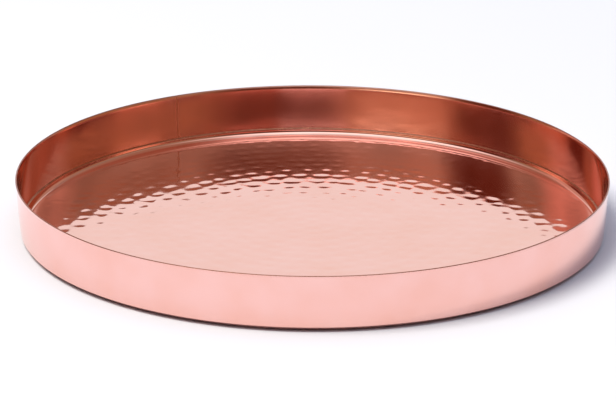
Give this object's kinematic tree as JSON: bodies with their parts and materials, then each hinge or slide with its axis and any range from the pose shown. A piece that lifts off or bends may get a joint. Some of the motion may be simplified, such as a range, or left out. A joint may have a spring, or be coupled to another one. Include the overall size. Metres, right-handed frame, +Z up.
{
  "type": "round serving tray",
  "caption": "Round hammered copper serving tray with a flat hammered floor and a low, smooth, slightly flared wall that holds cups, pots or plates.",
  "frame": {"origin": "centre of the tray's underside, on the surface it stands on", "axes": "+Z up along the tray's axis, -Y towards the front of the tray, so the hoop's seam is at the back left"},
  "size_m": [0.4, 0.4, 0.038],
  "materials": {
    "hammered_copper": "hammered and polished copper",
    "smooth_copper": "rolled copper, finely brushed round and polished",
    "seam_braze": "braze filed down and polished",
    "lap_solder": "solder fillet, wiped smooth",
    "foot_solder": "solder fillet, left dull"
  },
  "bodies": {
    "root": {"floor_pan": "hammered_copper", "wall_hoop": "smooth_copper", "hoop_seam": "seam_braze", "lap_solder": "lap_solder", "foot_solder": "foot_solder"}
  },
  "joints": []
}
